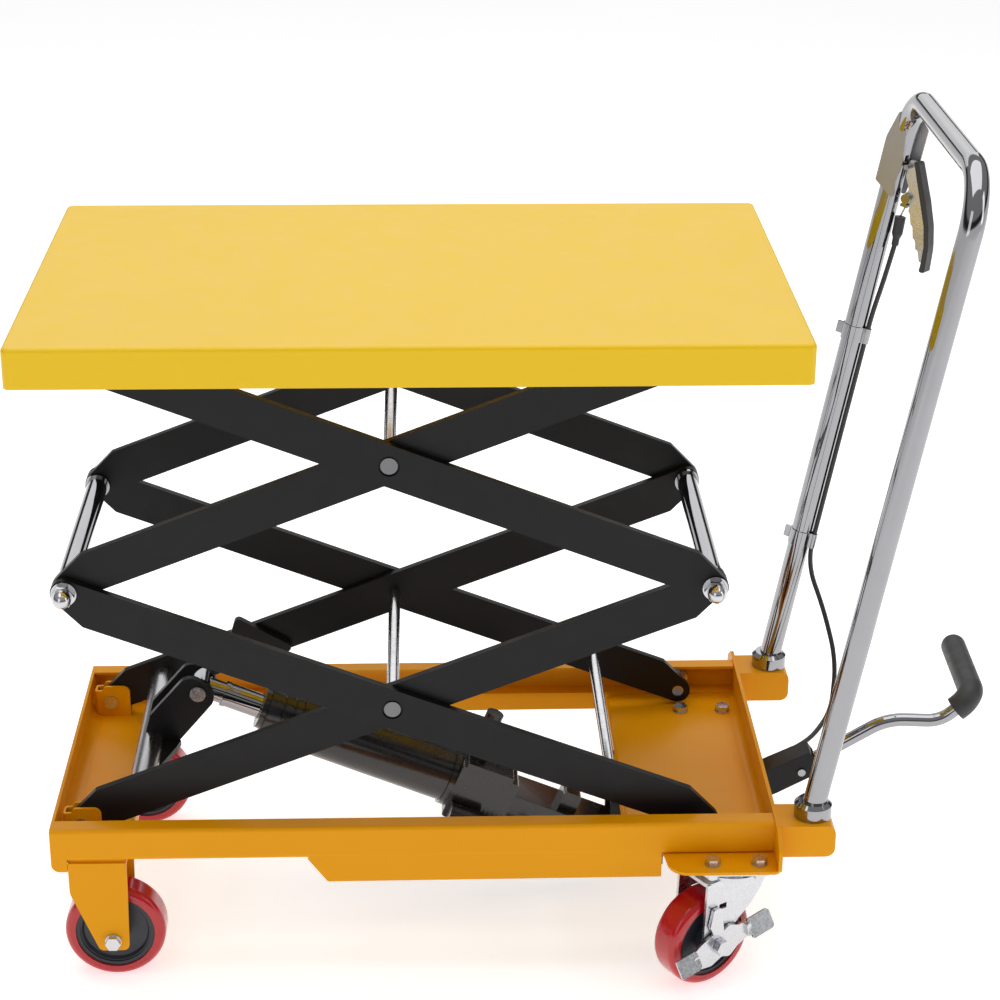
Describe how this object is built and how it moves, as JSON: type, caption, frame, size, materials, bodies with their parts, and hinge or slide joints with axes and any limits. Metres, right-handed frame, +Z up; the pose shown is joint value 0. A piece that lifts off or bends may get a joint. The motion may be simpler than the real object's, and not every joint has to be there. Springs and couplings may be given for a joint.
{
  "type": "hydraulic double-scissor lift table",
  "caption": "Wheeled hydraulic lift table with a double scissor, foot pump pedal, hand release lever on a push handle, fixed front wheels and braked rear casters.",
  "frame": {"origin": "on the floor under the middle of the object's length and width, y=0 on the chassis middle plane", "axes": "+X from the fixed front wheels towards the handle, +Z up"},
  "size_m": [0.9399, 0.4628, 0.8143],
  "materials": {
    "frame_paint": "gloss amber powder coat",
    "table_paint": "gloss yellow powder coat",
    "arm_black": "satin black paint",
    "pump_black": "gloss black paint",
    "chrome": "polished",
    "zinc": "bright zinc plate",
    "tread_red": "clear red polyurethane",
    "hub_dark": "dark nylon core",
    "rubber_black": "moulded",
    "cable_black": "smooth jacket"
  },
  "bodies": {
    "base": {"side_rail_left": "frame_paint", "side_rail_right": "frame_paint", "front_pan": "frame_paint", "rear_deck": "frame_paint", "handle_sockets": "frame_paint", "handle_fittings": "chrome", "handle": "chrome", "front_forks": "frame_paint", "base_fasteners": "zinc", "caster_plates": "zinc", "pump_mount": "arm_black", "lever_bracket": "chrome", "cable_boot": "rubber_black", "release_cable": "cable_black"},
    "front_wheel_left": {"front_tread_left": "tread_red", "front_hub_left": "hub_dark"},
    "front_wheel_right": {"front_tread_right": "tread_red", "front_hub_right": "hub_dark"},
    "caster_left": {"caster_fork_left": "zinc"},
    "caster_right": {"caster_fork_right": "zinc"},
    "caster_wheel_left": {"caster_tread_left": "tread_red", "caster_hub_left": "hub_dark"},
    "caster_wheel_right": {"caster_tread_right": "tread_red", "caster_hub_right": "hub_dark"},
    "brake_left": {"caster_brake_left": "zinc"},
    "brake_right": {"caster_brake_right": "zinc"},
    "lower_inner": {"lower_inner_arms": "arm_black", "lower_centre_rod": "chrome", "rear_cross_tube": "chrome", "torque_tube": "zinc", "ram_clevis": "arm_black", "clevis_pin": "zinc"},
    "lower_outer": {"lower_outer_arms": "arm_black", "lower_outer_pins": "chrome", "brace_rod": "chrome"},
    "base_roller_l": {"base_roller_left": "zinc"},
    "base_roller_r": {"base_roller_right": "zinc"},
    "upper_outer": {"upper_outer_arms": "arm_black", "upper_outer_pins": "chrome"},
    "upper_inner": {"upper_inner_arms": "arm_black", "front_cross_tube": "chrome", "table_roller_pins": "zinc"},
    "table_roller_l": {"table_roller_left": "zinc"},
    "table_roller_r": {"table_roller_right": "zinc"},
    "table": {"table_tray": "table_paint", "table_channels": "table_paint", "table_brackets": "table_paint"},
    "ram": {"ram_rod": "chrome"},
    "pump": {"barrel": "pump_black", "gland": "pump_black", "pump_block": "pump_black", "pump_foot": "pump_black", "pump_spring": "chrome"},
    "plunger": {"pump_plunger": "chrome"},
    "pedal": {"pedal_lever": "arm_black", "pedal_tube": "chrome", "pedal_grip": "rubber_black"},
    "release_lever": {"hand_lever": "zinc", "lever_grip": "rubber_black", "cable_clevis": "chrome"}
  },
  "joints": [
    {"name": "lift", "type": "hinge", "parent": "base", "child": "lower_inner", "pos_m": [-0.4426, 0, 0.1556], "axis": [0, -1, 0], "range_deg": [-16.35, 22.65]},
    {"name": "lower_cross", "type": "hinge", "parent": "lower_inner", "child": "lower_outer", "pos_m": [-0.13896, 0, 0.28044], "axis": [0, -1, 0], "range_deg": [-45.4, 32.8]},
    {"name": "rear_fold", "type": "hinge", "parent": "lower_inner", "child": "upper_outer", "pos_m": [0.16467, 0, 0.40528], "axis": [0, -1, 0], "range_deg": [-45.4, 32.8]},
    {"name": "upper_cross", "type": "hinge", "parent": "upper_outer", "child": "upper_inner", "pos_m": [-0.13896, 0, 0.53012], "axis": [0, -1, 0], "range_deg": [-32.8, 45.4]},
    {"name": "table_level", "type": "hinge", "parent": "upper_outer", "child": "table", "pos_m": [-0.4426, 0, 0.65496], "axis": [0, -1, 0], "range_deg": [-16.45, 22.75]},
    {"name": "base_roller_spin_left", "type": "hinge", "parent": "lower_outer", "child": "base_roller_l", "pos_m": [0.16467, -0.166, 0.1556], "axis": [0, 1, 0], "continuous": true},
    {"name": "base_roller_spin_right", "type": "hinge", "parent": "lower_outer", "child": "base_roller_r", "pos_m": [0.16467, 0.166, 0.1556], "axis": [0, 1, 0], "continuous": true},
    {"name": "table_roller_spin_left", "type": "hinge", "parent": "upper_inner", "child": "table_roller_l", "pos_m": [0.16467, -0.1545, 0.65496], "axis": [0, 1, 0], "continuous": true},
    {"name": "table_roller_spin_right", "type": "hinge", "parent": "upper_inner", "child": "table_roller_r", "pos_m": [0.16467, 0.1545, 0.65496], "axis": [0, 1, 0], "continuous": true},
    {"name": "ram_pivot", "type": "hinge", "parent": "lower_inner", "child": "ram", "pos_m": [-0.3355, 0, 0.237], "axis": [0, -1, 0], "range_deg": [-25.65, 18.54]},
    {"name": "ram_stroke", "type": "slide", "parent": "ram", "child": "pump", "axis": [0.9239, 0, -0.3827], "range_m": [-0.03315, 0.04584]},
    {"name": "pump_stroke", "type": "slide", "parent": "pump", "child": "plunger", "axis": [-0.9239, 0, 0.3827], "range_m": [0, 0.0122]},
    {"name": "pedal_press", "type": "hinge", "parent": "base", "child": "pedal", "pos_m": [0.1765, 0, 0.082], "axis": [0, 1, 0], "range_deg": [0, 20], "stiffness_Nm_per_rad": 5, "springref_deg": -28.65},
    {"name": "hand_release", "type": "hinge", "parent": "base", "child": "release_lever", "pos_m": [0.38193, 0.15311, 0.73077], "axis": [0.5638, 0.8192, -0.1055], "range_deg": [0, 5], "stiffness_Nm_per_rad": 0.6, "springref_deg": -17.19},
    {"name": "front_wheel_spin_left", "type": "hinge", "parent": "base", "child": "front_wheel_left", "pos_m": [-0.4124, -0.146, 0.049], "axis": [0, 1, 0], "continuous": true},
    {"name": "front_wheel_spin_right", "type": "hinge", "parent": "base", "child": "front_wheel_right", "pos_m": [-0.4124, 0.146, 0.049], "axis": [0, 1, 0], "continuous": true},
    {"name": "caster_swivel_left", "type": "hinge", "parent": "base", "child": "caster_left", "pos_m": [0.1885, -0.1575, 0.129], "axis": [0, 0, 1], "continuous": true},
    {"name": "caster_wheel_spin_left", "type": "hinge", "parent": "caster_left", "child": "caster_wheel_left", "pos_m": [0.16082, -0.17547, 0.049], "axis": [-0.5446, 0.8387, 0], "continuous": true},
    {"name": "brake_rock_left", "type": "hinge", "parent": "caster_left", "child": "brake_left", "pos_m": [0.16082, -0.17547, 0.049], "axis": [-0.5446, 0.8387, 0], "range_deg": [0, 18]},
    {"name": "caster_swivel_right", "type": "hinge", "parent": "base", "child": "caster_right", "pos_m": [0.1885, 0.1575, 0.129], "axis": [0, 0, 1], "continuous": true},
    {"name": "caster_wheel_spin_right", "type": "hinge", "parent": "caster_right", "child": "caster_wheel_right", "pos_m": [0.16082, 0.17547, 0.049], "axis": [0.5446, 0.8387, 0], "continuous": true},
    {"name": "brake_rock_right", "type": "hinge", "parent": "caster_right", "child": "brake_right", "pos_m": [0.16082, 0.17547, 0.049], "axis": [0.5446, 0.8387, 0], "range_deg": [0, 18]}
  ],
  "couplings": [
    {"joint": "lower_cross", "follows": "lift", "ratio": -2},
    {"joint": "rear_fold", "follows": "lift", "ratio": -2},
    {"joint": "upper_cross", "follows": "lift", "ratio": 2},
    {"joint": "table_level", "follows": "lift", "ratio": 1},
    {"joint": "ram_pivot", "follows": "lift", "ratio": -1.128},
    {"joint": "ram_stroke", "follows": "lift", "m_per_rad": 0.11545},
    {"joint": "pump_stroke", "follows": "pedal_press", "m_per_rad": 0.0344}
  ]
}
